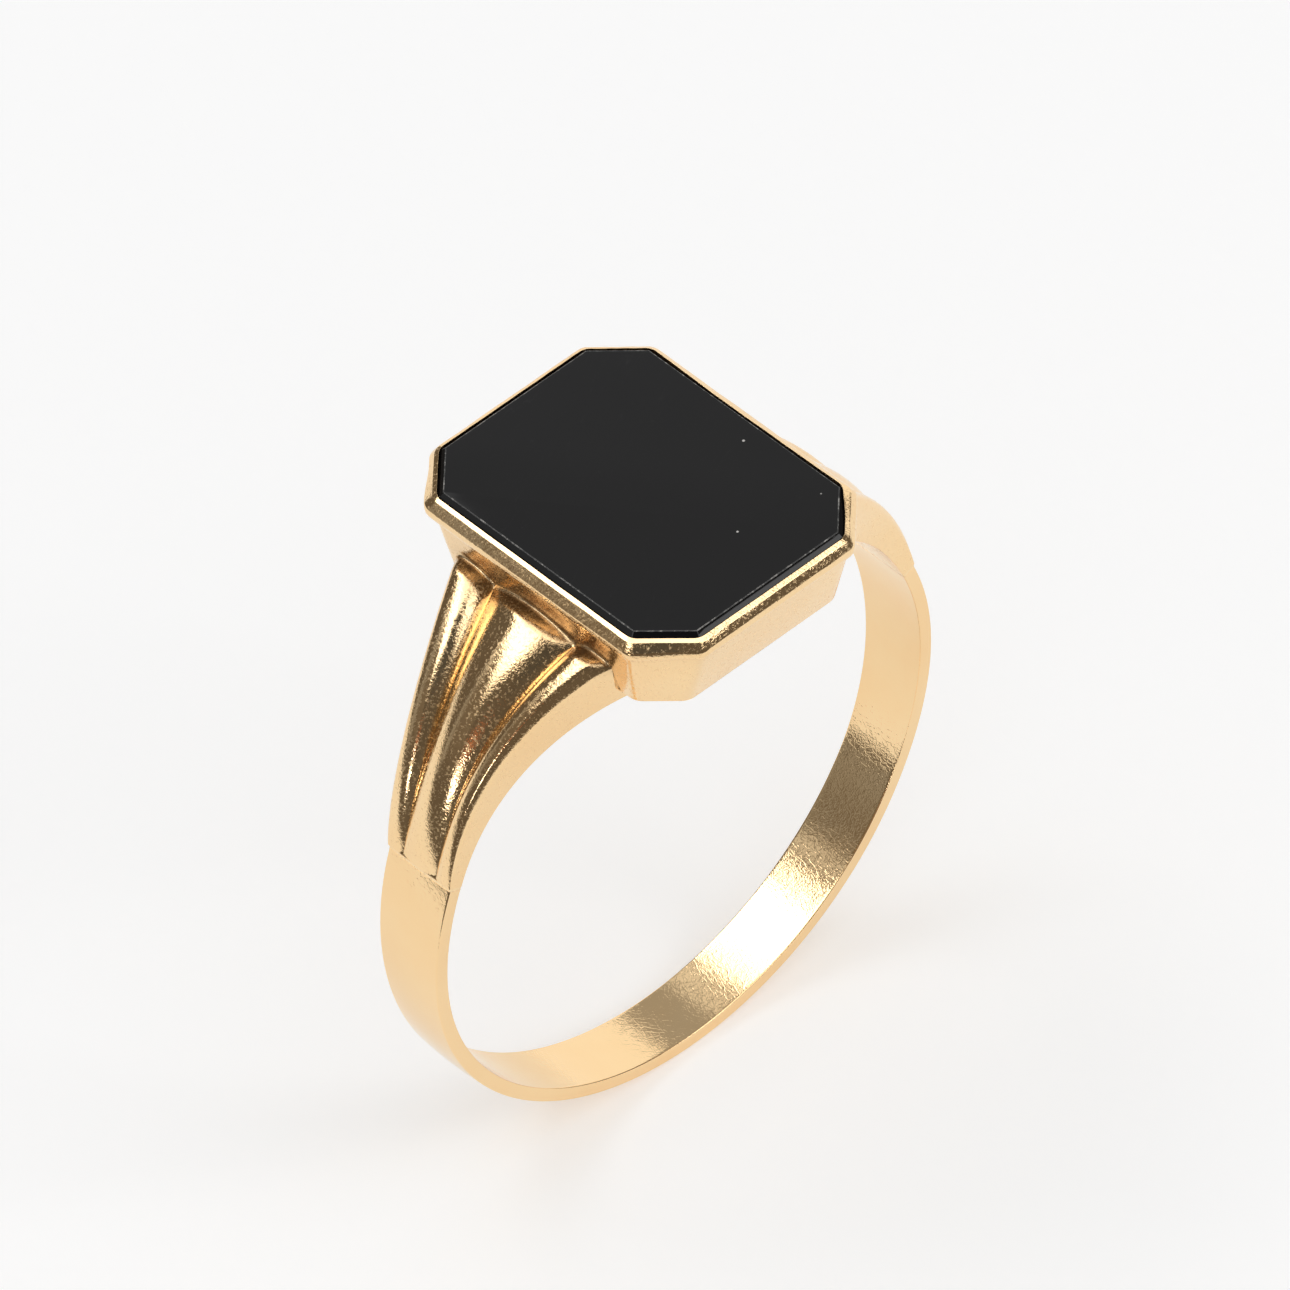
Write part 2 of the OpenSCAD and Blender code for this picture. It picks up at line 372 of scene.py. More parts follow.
def angle_at_wall(v, drop=0.0):
    """The angle at which the reeded surface runs into the collet wall."""
    angle = search_from_angle
    for _ in range(search_rounds):
        r = bore_r + shoulder_height(angle, v, drop)
        z = -r * math.cos(math.radians(angle))
        angle = 180 - math.degrees(math.asin(clamp(wall_x(z) / r)))
    return angle


def across_places():
    """Places across the reeded surface, closer together at the two creases."""
    edge = 0.985
    outer = [edge - (edge - reed_share) * i / 18 for i in range(17)]
    crease = [reed_share + d for d in (0.012, 0.006, 0, -0.006, -0.012)]
    middle = [0.5 * math.cos(math.radians(a)) for a in spread(12, 90, 16)]
    half = [v for v in outer + crease + middle if v < top_reach]
    return [-v for v in half[:-1]] + list(reversed(half))


def shoulder_ring(share, places, wall_angles, drop, past=None):
    """One closed ring of a shoulder. share runs from 0 at the seam to 1 at the wall.

    past is (x, z, inner angle) for the rings behind the wall and under the foot, which are flat across."""
    start = seam_angle + seam_half_angle
    inner_angle = past[2] if past else mix(start, wall_angle, share)

    def top_point(v):
        if past:
            return past[0], shoulder_y(inner_angle, v), past[1]
        angle = mix(start, wall_angles(v), share)
        return polar(bore_r + shoulder_height(angle, v, drop), shoulder_y(angle, v), angle)

    def point(v, w):
        """A point v of the way across, and w of the way up from the finger hole to the top."""
        low = polar(bore_r, shoulder_y(inner_angle, v), inner_angle)
        return tuple(mix(a, b, w) for a, b in zip(low, top_point(v)))

    # About the height of the shoulder's edge here.
    edge_height = 0.5 + share
    across = shoulder_edge_round / shoulder_width_half(inner_angle)
    up = shoulder_edge_round / edge_height
    top_edge = rounded([(1 - across, 1.0, 0), (1.0, 1.0, 1.0), (1.0, 1 - up, 0)], 4)[1:-1]
    side = [(1.0, w) for w in spread(1 - 1.5 * up, 1.5 * up, 5)]
    low_edge = rounded([(1.0, up, 0), (1.0, 0.0, 1.0), (1 - across, 0.0, 0)], 4)[1:-1]
    right = top_edge + side + low_edge
    left = [(-v, w) for v, w in reversed(right)]
    top = [(v, 1.0) for v in places]
    inside = [(v, 0.0) for v in spread(inner_reach, -inner_reach, 20)]
    return [point(v, w) for v, w in top + right + inside + left]


def build_shoulder_mesh(drop):
    found = {}

    def wall_angles(v):
        """The angle at the wall for a place across the shoulder, worked out once for each place."""
        key = round(v, 6)
        if key not in found:
            found[key] = angle_at_wall(v, drop)
        return found[key]

    # Rings lie closer together near the wall, where the reeds round over.
    shares = [0.0, 0.004] + spread(0.012, 0.86, 70) + spread(0.865, 1.0, 54)
    stations = [(share, None) for share in shares]
    stations.append((1.0, (foot_half[0], foot_z, foot_edge_angle)))
    for angle in spread(tongue_from_angle, tongue_angle, 4):
        x = bore_r * math.sin(math.radians(angle))
        stations.append((1.0, (x, foot_z, angle)))
    places = across_places()
    return loft([shoulder_ring(share, places, wall_angles, drop, past) for share, past in stations])


def build_shoulders():
    points, faces = build_shoulder_mesh(right_drop)
    right = make_piece("gold_right_shoulder", points, faces, ["right_shoulder"])
    points, faces = mirrored(*build_shoulder_mesh(0.0))
    left = make_piece("gold_left_shoulder", points, faces, ["left_shoulder"])
    return [right, left]


# Collet

def inset_outline(outline, d):
    """An outline is the half sizes in X and Y of a rectangle, and how much is cut off its corners."""
    half_x, half_y, cut = outline
    return (half_x - d, half_y - d, cut - d * (2 - math.sqrt(2)))


def wall_outline(z):
    t = (z - foot_z) / (wall_top_z - foot_z)
    return (mix(foot_half[0], wall_high.x, t), mix(foot_half[1], wall_high.y, t), mix(foot_cut, top_cut, t))


def wall_inner(z):
    t = (z - foot_z) / (wall_top_z - foot_z)
    return inset_outline(wall_outline(z), mix(wall_foot_t, wall_top_t, t))


def octagon_ring(outline, z, corner_r=collet_corner_r, side_steps=26, corner_steps=6):
    """A closed ring round a rectangle with cut corners. The eight corners are slightly rounded."""
    half_x, half_y, cut = outline
    corners = [
        Vector((-half_x + cut, -half_y)), Vector((half_x - cut, -half_y)),
        Vector((half_x, -half_y + cut)), Vector((half_x, half_y - cut)),
        Vector((half_x - cut, half_y)), Vector((-half_x + cut, half_y)),
        Vector((-half_x, half_y - cut)), Vector((-half_x, -half_y + cut))]
    reach = max(corner_r, 0.004) * math.tan(math.radians(22.5)) * 2
    ring = []
    for i, corner in enumerate(corners):
        before = (corners[i - 1] - corner).normalized()
        after = corners[(i + 1) % 8] - corner
        start = corner + before * reach
        end = corner + after.normalized() * reach
        for k in range(corner_steps + 1):
            t = k / corner_steps
            ring.append(start * (1 - t) ** 2 + corner * 2 * t * (1 - t) + end * t * t)
        next_start = corners[(i + 1) % 8] - after.normalized() * reach
        steps = side_steps if i % 2 == 0 else side_steps // 3
        for k in range(1, steps):
            ring.append(end.lerp(next_start, k / steps))
    return [(p.x, p.y, z) for p in ring]


def build_collet_wall():
    outside = rounded([
        (foot_flat, foot_z, 0), (0.0, foot_z, foot_round), (0.0, mix(foot_z, wall_top_z, 0.5), 0),
        (0.0, wall_top_z, 0)], 4)
    rings = []
    for d, z in outside:
        rings.append(octagon_ring(inset_outline(wall_outline(z), d), z))
    for z in spread(wall_top_z, foot_z, 6):
        rings.append(octagon_ring(wall_inner(z), z, inner_corner_r))
    points, faces = loft(rings, joined=True)
    return make_piece("gold_collet_wall", points, faces, ["collet_wall"], 35)


def rim_wobble(x, y, z):
    """The rim was pushed over the stone by hand, so it isn't quite even."""
    spot = Vector((x * 1.1, y * 1.1, z * 3))
    return wobble_broad * noise.noise(spot) + wobble_fine * noise.noise(spot * 4.3)


def build_rim():
    top = wall_outline(wall_top_z)
    height = rim_high.z - wall_top_z
    seat = stone_high.x + stone_play - wall_high.x
    lip = seat - bevel_w * lip_cover
    lean = (wall_high.x - foot_half[0]) / (wall_top_z - foot_z)
    # Each corner is how far out it lies from the wall's top, its height over it, and its rounding.
    profile = rounded([
        (-rim_skirt * lean, -rim_skirt, 0),
        (rim_out * 0.6, -rim_skirt, 0.05),
        (rim_out, -rim_skirt * 0.4, 0.06),
        (rim_out, 0.09, 0.04),
        (rim_top_out, height - 0.055, 0.02),
        (lip, height + 0.005, 0.015),
        (seat, height - 0.1, 0.02),
        (seat, 0.0, 0.001),
        (0.0, 0.0, 0)])
    rings = []
    for out_by, rise in profile:
        ring = octagon_ring(inset_outline(top, -out_by), wall_top_z + rise, rim_corner_r)
        moved = []
        for x, y, z in ring:
            shift = rim_wobble(x, y, z) if out_by > lip and rise > 0.05 else 0.0
            if out_by > rim_out * 0.5:
                shift += thick_side * smooth(-x - side_from_x)
            rise_by = min(shift, 0.02) * 0.6
            if rise > 0.05:
                inward = clamp((rim_top_out - out_by) / (rim_top_out - seat))
                cover = far_cover * inward * smooth(x - side_from_x)
                shift -= cover
                rise_by += cover
            away = Vector((x, y)).normalized()
            moved.append((x + away.x * shift, y + away.y * shift, z + rise_by))
        rings.append(moved)
    points, faces = loft(rings, joined=True)
    return make_piece("gold_setting_rim", points, faces, ["setting_rim"], 45)


def build_ledge():
    high = wall_inner(ledge_high.z)
    low = wall_inner(ledge_low.z)
    inner = inset_outline(high, ledge_w)
    rings = [
        octagon_ring(low, ledge_low.z, inner_corner_r),
        octagon_ring(high, ledge_high.z, inner_corner_r),
        octagon_ring(inset_outline(high, ledge_w - ledge_round), ledge_high.z, inner_corner_r),
        octagon_ring(inner, ledge_high.z - ledge_round, inner_corner_r),
        octagon_ring(inner, ledge_low.z, inner_corner_r)]
    points, faces = loft(rings, joined=True)
    return make_piece("gold_bearing_ledge", points, faces, ["bearing_ledge"], 35)


def build_back_plate():
    low = wall_inner(plate_low.z)
    high = wall_inner(plate_high.z)
    opening = inset_outline(low, plate_frame_w)
    wider = inset_outline(opening, -plate_round)
    rings = [
        octagon_ring(low, plate_low.z, inner_corner_r),
        octagon_ring(high, plate_high.z, inner_corner_r),
        octagon_ring(wider, plate_high.z, plate_corner_r),
        octagon_ring(opening, plate_high.z - plate_round, plate_corner_r),
        octagon_ring(opening, plate_low.z + plate_round, plate_corner_r),
        octagon_ring(wider, plate_low.z, plate_corner_r)]
    points, faces = loft(rings, joined=True)
    return make_piece("gold_back_plate", points, faces, ["back_plate"], 35)


def build_stone():
    """The tablet. Its materials are for its table and sides, its bevel with painted shade, and the chipped
    edge between.
    """
    girdle_z = stone_high.z - bevel_w
    girdle = (stone_high.x, stone_high.y, top_cut - (wall_high.x - stone_high.x) * (2 - math.sqrt(2)))
    back = inset_outline(wall_inner(stone_low.z), 0.04)
    middle = inset_outline(wall_inner(wall_top_z), 0.02)
    rings = [
        octagon_ring(inset_outline(back, 0.1), stone_low.z, 0.05),
        octagon_ring(back, stone_low.z + 0.1, 0.05),
        octagon_ring(middle, wall_top_z, 0.04),
        octagon_ring(girdle, wall_top_z + 0.12, 0.03),
        octagon_ring(girdle, girdle_z, 0.03),
        octagon_ring(inset_outline(girdle, bevel_w - table_edge), stone_high.z - table_edge, 0.02),
        octagon_ring(
            inset_outline(girdle, bevel_w + table_edge * 0.2), stone_high.z - table_edge * 0.2, 0.02),
        octagon_ring(inset_outline(girdle, bevel_w + table_edge * 1.4), stone_high.z, 0.02)]
    points, faces = loft(rings)
    stone = make_piece("black_onyx_tablet", points, faces, ["onyx_tablet"], 20)
    stone.data.materials.append(onyx_material("black onyx", 0.5))
    # The bevel's copy of the onyx reflects about half as much light as the table: painted shade that keeps
    # the bevel dark.
    stone.data.materials.append(onyx_material("black onyx bevel with painted shade", 0.27))
    stone.data.materials.append(chipped_material())
    edge_z = stone_high.z * MM - table_edge * MM
    for face in stone.data.polygons:
        is_sloping = 0.1 < face.normal.z < 0.999
        if is_sloping and face.center.z > girdle_z * MM:
            face.material_index = 2 if face.center.z > edge_z else 1
    return stone


# Solder

def build_head_solder_mesh(drop):
    """A thin bead in the corner between a shoulder's reeded end and the collet wall."""
    rings = []
    for v in spread(-0.975, 0.975, 120):
        angle = angle_at_wall(v, drop)
        r = bore_r + shoulder_height(angle, v, drop)
        y = shoulder_y(angle, v)
        contact = Vector(polar(r, y, angle))
        back_angle = angle - math.degrees(bead_leg / r)
        on_top = Vector(polar(bore_r + shoulder_height(back_angle, v, drop), y, back_angle))
        rise = contact.z + bead_leg
        on_wall = Vector((wall_x(rise), contact.y, rise))
        ring = []
        for t in spread(0, 1, 6):
            ring.append(on_top * (1 - t) ** 2 + contact * 2 * t * (1 - t) + on_wall * t * t)
        ring.append(contact + bead_sink)
        rings.append([tuple(p) for p in ring])
    return loft(rings)


def build_head_solders():
    points, faces = build_head_solder_mesh(right_drop)
    right = make_piece("right_head_solder_bead", points, faces, ["right_head_solder"])
    points, faces = mirrored(*build_head_solder_mesh(0.0))
    left = make_piece("left_head_solder_bead", points, faces, ["left_head_solder"])
    return [right, left]


def seam_ring(angle, raised):
    """A ring of the seam, which stands proud of the band by raised and is a hair narrower than it."""
    half = band_half(angle) * 0.999
    outer = [(half * v, band_height(v) + raised) for v in spread(-0.96, 0.96, 30)]
    side = rounded([
        (half * 0.97, band_height(0.97) + raised, 0), (half, band_edge_t + raised, 0.05),
        (half, seam_lift, 0.05), (half * 0.95, seam_lift, 0)])
    inner = [(half * v, seam_lift) for v in spread(0.93, -0.93, 10)]
    other_side = [(-y, h) for y, h in reversed(side)]
    return [polar(bore_r + h, y, angle) for y, h in outer + side + inner + other_side]


def build_shank_solders():
    rises = [(-seam_half_angle, -0.002), (0.0, 0.004), (seam_half_angle, 0.03)]
    rings = [seam_ring(seam_angle + a, h) for a, h in rises]
    points, faces = loft(rings)
    right = make_piece("right_shank_solder_seam", points, faces, ["right_shank_solder"])
    points, faces = mirrored(points, faces)
    left = make_piece("left_shank_solder_seam", points, faces, ["left_shank_solder"])
    return [right, left]


# Materials

class Nodes:
    """Adds shader nodes and links them by name."""

    def __init__(self, tree):
        self.tree = tree
        tree.nodes.clear()

    def add(self, kind, **settings):
        node = self.tree.nodes.new(kind)
        for key, value in settings.items():
            setattr(node, key, value)
        return node

    def link(self, source, target):
        self.tree.links.new(source, target)

    def place(self, scale, stretch=(1, 1, 1), turn=(0, 0, 0)):
        """Object coordinates in millimetres, stretched and turned."""
        source = self.add("ShaderNodeTexCoord").outputs["Object"]
        mapping = self.add("ShaderNodeMapping", vector_type="TEXTURE")
        mapping.inputs["Rotation"].default_value = [math.radians(a) for a in turn]
        mapping.inputs["Scale"].default_value = [MM * s / scale for s in stretch]
        self.link(source, mapping.inputs["Vector"])
        return mapping.outputs["Vector"]

    def noise(self, vector, detail=2.0, roughness=0.5, distortion=0.0):
        node = self.add("ShaderNodeTexNoise")
        node.inputs["Scale"].default_value = 1.0
        node.inputs["Detail"].default_value = detail
        node.inputs["Roughness"].default_value = roughness
        node.inputs["Distortion"].default_value = distortion
        self.link(vector, node.inputs["Vector"])
        return node.outputs["Fac"]

    def ramp(self, value, stops):
        """stops is a list of (position, grey or colour)."""
        node = self.add("ShaderNodeValToRGB")
        ramp = node.color_ramp
        while len(ramp.elements) < len(stops):
            ramp.elements.new(0.5)
        for element, (position, shade) in zip(ramp.elements, stops):
            element.position = position
            element.color = tuple(shade) + (1,) if isinstance(shade, tuple) else (shade, shade, shade, 1)
        self.link(value, node.inputs["Fac"])
        return node.outputs["Color"]

    def math(self, operation, a, b):
        node = self.add("ShaderNodeMath", operation=operation)
        for socket, value in zip(node.inputs, (a, b)):
            if isinstance(value, (int, float)):
                socket.default_value = value
            else:
                self.link(value, socket)
        return node.outputs[0]

    def blend(self, factor, a, b):
        node = self.add("ShaderNodeMix", data_type="RGBA")
        for socket, value in zip((node.inputs[0], node.inputs[6], node.inputs[7]), (factor, a, b)):
            if isinstance(value, (int, float)):
                socket.default_value = value
            elif isinstance(value, tuple):
                socket.default_value = value + (1,)
            else:
                self.link(value, socket)
        return node.outputs[2]

    def bump(self, height, distance, strength=1.0, normal=None):
        node = self.add("ShaderNodeBump")
        node.inputs["Strength"].default_value = strength
        node.inputs["Distance"].default_value = distance
        self.link(height, node.inputs["Height"])
        if normal:
            self.link(normal, node.inputs["Normal"])
        return node.outputs["Normal"]


def scratches(nodes, turn, density, width):
    """Fine straight scratches along one direction, as a mask that is 1 on a scratch."""
    field = nodes.noise(nodes.place(density, (9, 1, 1), turn), 1.0)
    return nodes.ramp(field, [(0.5 - width, 0.0), (0.5, 1.0), (0.5 + width, 0.0)])


def gold_material(name, colour, rosy, roughness, grain_size, grain_h, grime_and_shade, pitting):
    """Gold that drifts between two tones, with a fine grain, pits, scratches, and grime with painted shade
    in its corners.

    grain_size is in grains per millimetre, grain_h in millimetres, and the grime with painted shade in
    hollows and pitting are strengths."""
    material = bpy.data.materials.new(name)
    material.use_nodes = True
    nodes = Nodes(material.node_tree)
    tint = nodes.ramp(nodes.noise(nodes.place(0.35), 3.0), [(0.35, 0.0), (0.7, 1.0)])
    shade = nodes.blend(tint, colour, rosy)

    # Grime and painted shade: a patchy dark brown in the hollows near the collet, found by ambient
    # occlusion.
    recess = nodes.add("ShaderNodeAmbientOcclusion", samples=8, only_local=False)
    recess.inputs["Distance"].default_value = 1.6 * MM
    shut_in = nodes.ramp(recess.outputs["AO"], [(0.45, 1.0), (0.95, 0.0)])
    height = nodes.add("ShaderNodeSeparateXYZ")
    nodes.link(nodes.place(1.0), height.inputs[0])
    near_wall = nodes.add("ShaderNodeMapRange", interpolation_type="SMOOTHSTEP")
    nodes.link(height.outputs["Z"], near_wall.inputs["Value"])
    for socket, value in (("From Min", grime_and_shade_from_z), ("From Max", grime_and_shade_full_z)):
        near_wall.inputs[socket].default_value = value
    shut_in = nodes.math("MULTIPLY", shut_in, near_wall.outputs["Result"])
    patchy = nodes.ramp(nodes.noise(nodes.place(3.5), 4.0, 0.65), [(0.3, 0.6), (0.7, 1.0)])
    grime_and_shade_mask = nodes.math("MULTIPLY", nodes.math("MULTIPLY", shut_in, patchy), grime_and_shade)
    # Painted shade: the hollows' mask darkens the gold to brown, partly grime and partly shade.
    shade = nodes.blend(grime_and_shade_mask, shade, (0.22, 0.125, 0.06))

    # Scratches in three directions.
    first = scratches(nodes, (20, 35, 10), 5.0, 0.06)
    second = scratches(nodes, (-50, 15, 70), 6.0, 0.05)
    third = scratches(nodes, (80, -30, 125), 5.5, 0.05)
    marks = nodes.math("ADD", nodes.math("ADD", first, second), third)

    # Roughness from worn patches, the grime in the hollows' grime and painted shade mask, and pits.
    wear = nodes.noise(nodes.place(0.6), 4.0, 0.6)
    rough = nodes.math("ADD", nodes.math("MULTIPLY", wear, 0.08), roughness - 0.04)
    rough = nodes.math("ADD", rough, nodes.math("MULTIPLY", grime_and_shade_mask, 0.25))
    pits = nodes.ramp(nodes.noise(nodes.place(grain_size * 0.8), 3.0, 0.6), [(0.5, 0.0), (0.68, 1.0)])
    rough = nodes.math("ADD", rough, nodes.math("MULTIPLY", pits, pitting))

    # Bumps: a broad swell, the grain, and the scratches.
    swell = nodes.noise(nodes.place(0.9), 1.5)
    grain = nodes.noise(nodes.place(grain_size), 2.0)
    normal = nodes.bump(swell, 0.004 * MM)
    normal = nodes.bump(grain, grain_h * MM, 1.0, normal)
    normal = nodes.bump(nodes.math("SUBTRACT", 1.0, marks), 0.0008 * MM, 1.0, normal)

    shader = nodes.add("ShaderNodeBsdfPrincipled")
    shader.inputs["Metallic"].default_value = 1.0
    nodes.link(shade, shader.inputs["Base Color"])
    nodes.link(rough, shader.inputs["Roughness"])
    nodes.link(normal, shader.inputs["Normal"])
    out = nodes.add("ShaderNodeOutputMaterial")
    nodes.link(shader.outputs[0], out.inputs["Surface"])
    return material


def onyx_material(name, specular):
    """Polished black onyx with faint clouds, hairlines and a few dust specks."""
    material = bpy.data.materials.new(name)
    material.use_nodes = True
    nodes = Nodes(material.node_tree)
    cloud = nodes.noise(nodes.place(0.5), 3.0)
    body = nodes.blend(cloud, (0.0035, 0.0033, 0.0036), (0.0055, 0.0052, 0.0056))
    dust = nodes.add("ShaderNodeTexVoronoi")
    dust.inputs["Scale"].default_value = 1.0
    nodes.link(nodes.place(0.9), dust.inputs["Vector"])
    speck = nodes.ramp(dust.outputs["Distance"], [(0.0, 1.0), (0.028, 1.0), (0.04, 0.0)])
    chosen = nodes.math("GREATER_THAN", dust.outputs["Color"], 0.3)
    fleck = nodes.math("MULTIPLY", speck, chosen)
    shade = nodes.blend(fleck, body, (0.55, 0.53, 0.5))
    hairlines = scratches(nodes, (0, 0, 25), 2.2, 0.004)
    rough = nodes.math("ADD", nodes.math("MULTIPLY", hairlines, 0.12), 0.05)
    rough = nodes.math("ADD", rough, nodes.math("MULTIPLY", fleck, 0.5))
    normal = nodes.bump(nodes.noise(nodes.place(0.3), 1.0), 0.002 * MM, 0.4)
    normal = nodes.bump(fleck, 0.01 * MM, 0.5, normal)
    shader = nodes.add("ShaderNodeBsdfPrincipled")
    shader.inputs["IOR"].default_value = 1.54
    shader.inputs["Specular IOR Level"].default_value = specular
    nodes.link(shade, shader.inputs["Base Color"])
    nodes.link(rough, shader.inputs["Roughness"])
    nodes.link(normal, shader.inputs["Normal"])
    out = nodes.add("ShaderNodeOutputMaterial")
    nodes.link(shader.outputs[0], out.inputs["Surface"])
    return material


def chipped_material():
    """The stone's sharp table edge: black, with tiny pale chips."""
    material = bpy.data.materials.new("chipped onyx edge")
    material.use_nodes = True
    nodes = Nodes(material.node_tree)
    chips = nodes.ramp(nodes.noise(nodes.place(5.0), 4.0, 0.7), [(0.5, 0.03), (0.68, 0.9)])
    shade = nodes.blend(chips, (0.01, 0.01, 0.01), (0.42, 0.40, 0.37))
    shader = nodes.add("ShaderNodeBsdfPrincipled")
    shader.inputs["Roughness"].default_value = 0.45
    nodes.link(shade, shader.inputs["Base Color"])
    out = nodes.add("ShaderNodeOutputMaterial")
    nodes.link(shader.outputs[0], out.inputs["Surface"])
    return material


def floor_material():
    material = bpy.data.materials.new("pale paper")
    material.use_nodes = True
    nodes = Nodes(material.node_tree)
    grain = nodes.noise(nodes.place(2.0), 3.0)
    shade = nodes.blend(grain, (0.80, 0.80, 0.80), (0.815, 0.815, 0.815))
    shader = nodes.add("ShaderNodeBsdfPrincipled")
    shader.inputs["Roughness"].default_value = 0.9
    shader.inputs["Specular IOR Level"].default_value = 0.1
    shader.inputs["Emission Strength"].default_value = table_glow
    nodes.link(shade, shader.inputs["Base Color"])
    out = nodes.add("ShaderNodeOutputMaterial")
    nodes.link(shader.outputs[0], out.inputs["Surface"])
    return material


# Studio

floor_z = band_low.z
# The paper's front edge faces this way. It lies this far in front of the ring, to each side and behind.
camera_side = -138.0
paper_front = 26.0
paper_side = 500.0
paper_back = 900.0
# The wide table under the paper, and how much lower it lies.
table_r = 4000.0
table_drop = 0.02
# Both glow faintly, which lightens the shadows on them.
table_glow = 0.33


def toward(azimuth, elevation):
    a = math.radians(azimuth)
    e = math.radians(elevation)
    return Vector((math.cos(a) * math.cos(e), math.sin(a) * math.cos(e), math.sin(e)))


def circle(steps):
    turns = [math.tau * i / steps for i in range(steps)]
    return [(math.cos(t), math.sin(t)) for t in turns]


def flat_piece(name, corners, material):
    """A flat sheet with its corners in millimetres."""
    mesh = bpy.data.meshes.new(name)
    mesh.from_pydata([[c * MM for c in p] for p in corners], [], [tuple(range(len(corners)))])
    mesh.materials.append(material)
    sheet = bpy.data.objects.new(name, mesh)
    bpy.context.scene.collection.objects.link(sheet)
    return sheet


def build_floor():
    """White paper with a straight front edge, on a wide pale table that polished metal doesn't mirror."""
    material = floor_material()
    front = toward(camera_side, 0)
    across = toward(camera_side + 90, 0)
    corners = []
    for ahead, aside in ((paper_front, -1), (paper_front, 1), (-paper_back, 1), (-paper_back, -1)):
        spot = front * ahead + across * aside * paper_side
        corners.append((spot.x, spot.y, floor_z))
    flat_piece("paper", corners, material)
    table_z = floor_z - table_drop
    table = flat_piece("table", [(table_r * a, table_r * b, table_z) for a, b in circle(64)], material)
    table.visible_glossy = False


def add_box(name, azimuth, elevation, distance, width, height, radiance, shape="RECTANGLE", mirrored=True):
    """A softbox that faces the ring, in metres. Its azimuth is measured from +X towards +Y.

    One that isn't mirrored lights the ring but doesn't show in its reflections."""
    light = bpy.data.lights.new(name, "AREA")
    light.shape = shape
    light.size = width
    if shape == "RECTANGLE":
        light.size_y = height
        area = width * height
    else:
        area = math.pi * width * width / 4
    light.energy = radiance * math.pi * area
    lamp = bpy.data.objects.new(name, light)
    direction = toward(azimuth, elevation)
    lamp.location = direction * distance
    lamp.rotation_euler = direction.to_track_quat("Z", "Y").to_euler()
    lamp.visible_camera = False
    lamp.visible_glossy = mirrored
    bpy.context.scene.collection.objects.link(lamp)


def add_panel(name, azimuth, elevation, distance, width, height, radiance, colour=(1, 1, 1), round_steps=0):
    """A panel that only shows in reflections, in millimetres. round_steps makes it a disc."""
    material = bpy.data.materials.new(name)
    material.use_nodes = True
    nodes = Nodes(material.node_tree)
    glow = nodes.add("ShaderNodeEmission")
    glow.inputs["Color"].default_value = tuple(colour) + (1,)
    glow.inputs["Strength"].default_value = radiance
    out = nodes.add("ShaderNodeOutputMaterial")
    nodes.link(glow.outputs[0], out.inputs["Surface"])
    centre = toward(azimuth, elevation) * distance
    aside = toward(azimuth + 90, 0) * width / 2
    above = toward(azimuth, elevation + 90) * height / 2
    outline = [(-1, -1), (1, -1), (1, 1), (-1, 1)]
    if round_steps:
        outline = circle(round_steps)
    corners = [centre + aside * a + above * b for a, b in outline]
    panel = flat_piece(name, corners, material)
    panel.visible_camera = False
    panel.visible_diffuse = False
    panel.visible_shadow = False


def build_lights():
    """Softboxes, and the bright and dark things in the room that the gold mirrors."""
    add_box("overhead_box", -129, 69, 1.2, 2.7, 2.7, 0.62, "DISK", mirrored=False)
    add_box("back_box", 105, 56, 1.1, 0.6, 0.3, 1.6)
    add_panel("overhead_mirrored", -129, 69, 1200, 2400, 2400, 2.0, round_steps=64)
    add_panel("back_core", 105, 52, 600, 328, 150, 4.0)
    add_box("side_box", -57, 30, 1.2, 0.5, 0.4, 3.0)
    add_panel("person", -140, 26, 500, 600, 364, 0.11, (1.0, 0.88, 0.76))
    add_panel("camera_body", -131, 45, 450, 220, 220, 0.08)
    add_panel("paper_sweep", 36, 18, 700, 900, 500, 1.05)
    add_panel("bright_core", 163, 54, 600, 480, 210, 3.0)
    add_panel("ceiling_edge", 68, 53, 640, 130, 90, 0.8)
    add_panel("grey_wall_high", 141, 35, 590, 110, 70, 0.65)
    add_panel("far_ceiling", 46, 49, 650, 520, 300, 0.38)
    add_panel("dim_side", 168, 23, 560, 440, 240, 0.17, (1.0, 0.88, 0.76))
    add_panel("grey_wall", 144, 16, 600, 130, 340, 0.30)
    add_panel("low_window", -163, 3, 400, 60, 60, 8.0)
    add_panel("wooden_door", -160, 15, 430, 110, 60, 0.42, (1.0, 0.45, 0.28))


def build_world():
    """Even white light, but a dim warm room in reflections and the floor's pale tone for the camera."""
    world = bpy.data.worlds.new("studio")
    world.use_nodes = True
    nodes = Nodes(world.node_tree)
    rays = nodes.add("ShaderNodeLightPath")
    room = nodes.add("ShaderNodeBackground")
    room.inputs["Color"].default_value = (1.0, 0.88, 0.76, 1)
    room.inputs["Strength"].default_value = 0.13
    white = nodes.add("ShaderNodeBackground")
    white.inputs["Strength"].default_value = 0.32
    pale = nodes.add("ShaderNodeBackground")
    pale.inputs["Strength"].default_value = 0.945
    for ground in (white, pale):
        ground.inputs["Color"].default_value = (1.0, 1.0, 1.0, 1)
    shine = nodes.add("ShaderNodeMixShader")
    nodes.link(rays.outputs["Is Glossy Ray"], shine.inputs[0])
    nodes.link(white.outputs[0], shine.inputs[1])
    nodes.link(room.outputs[0], shine.inputs[2])
    view = nodes.add("ShaderNodeMixShader")
    nodes.link(rays.outputs["Is Camera Ray"], view.inputs[0])
    nodes.link(shine.outputs[0], view.inputs[1])
    nodes.link(pale.outputs[0], view.inputs[2])
    out = nodes.add("ShaderNodeOutputWorld")
    nodes.link(view.outputs[0], out.inputs["Surface"])
    bpy.context.scene.world = world


# Camera

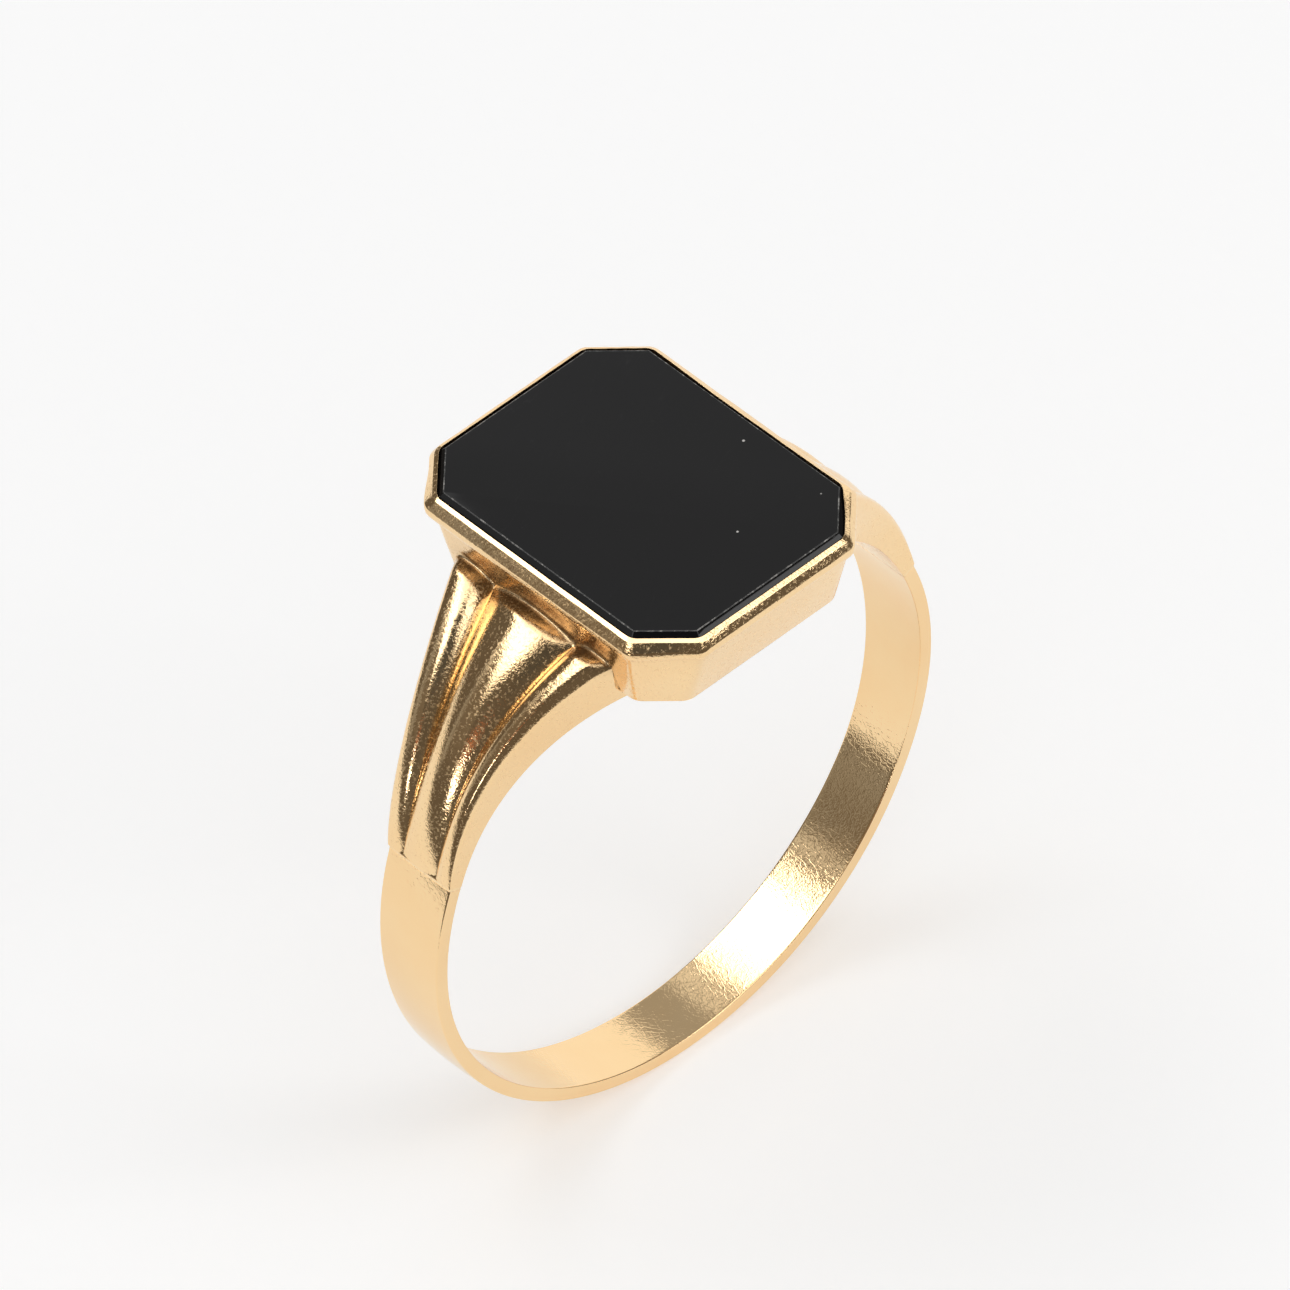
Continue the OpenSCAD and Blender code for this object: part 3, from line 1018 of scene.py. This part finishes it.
camera_azimuth = -41.0
camera_elevation = 45.39
camera_roll = -3.206
camera_distance = 549.6
camera_target = Vector((-0.028, 0.164, 5.414))
camera_lens = 583.3


def build_camera():
    az = math.radians(camera_azimuth)
    el = math.radians(camera_elevation)
    roll = math.radians(camera_roll)
    back = Vector((math.sin(az) * math.cos(el), -math.cos(az) * math.cos(el), math.sin(el)))
    level = Vector((math.cos(az), math.sin(az), 0))
    rise = back.cross(level)
    right = level * math.cos(roll) + rise * math.sin(roll)
    up = rise * math.cos(roll) - level * math.sin(roll)
    camera = bpy.data.cameras.new("camera")
    camera.sensor_width = 36
    camera.lens = camera_lens
    camera.clip_start = 0.01
    camera.clip_end = 20
    holder = bpy.data.objects.new("camera", camera)
    place = (camera_target + back * camera_distance) * MM
    holder.matrix_world = Matrix((
        (right.x, up.x, back.x, place.x),
        (right.y, up.y, back.y, place.y),
        (right.z, up.z, back.z, place.z),
        (0, 0, 0, 1)))
    bpy.context.scene.collection.objects.link(holder)
    bpy.context.scene.camera = holder


# The whole ring

yellow = (0.95, 0.69, 0.385)
rosy_yellow = (0.93, 0.645, 0.34)
# The strength of the grime with painted shade in the hollows near the collet: light on the plain gold, full
# on the worn gold and the solder.
gold = gold_material(
    "yellow gold", colour=yellow, rosy=rosy_yellow, roughness=0.08,
    grain_size=24.0, grain_h=0.0014, grime_and_shade=0.3, pitting=0.08)
# The worn gold has coarser grain and more pits, and takes the full grime and painted shade in its hollows.
worn_shaded_gold = gold_material(
    "worn yellow gold with painted shade", colour=yellow, rosy=rosy_yellow, roughness=0.08,
    grain_size=15.0, grain_h=0.0034, grime_and_shade=1.0, pitting=0.32)
solder = gold_material(
    "pale gold solder", colour=(0.95, 0.72, 0.43), rosy=(0.93, 0.67, 0.37), roughness=0.14,
    grain_size=15.0, grain_h=0.003, grime_and_shade=1.0, pitting=0.3)

gold_pieces = [build_band(), build_ledge(), build_back_plate()]
worn_shaded_pieces = [build_collet_wall(), build_rim()] + build_shoulders()
solder_pieces = build_head_solders() + build_shank_solders()
for piece in gold_pieces:
    piece.data.materials.append(gold)
for piece in worn_shaded_pieces:
    piece.data.materials.append(worn_shaded_gold)
for piece in solder_pieces:
    piece.data.materials.append(solder)
build_stone()

build_floor()
build_lights()
build_world()
build_camera()
bpy.context.scene.view_settings.view_transform = "Standard"
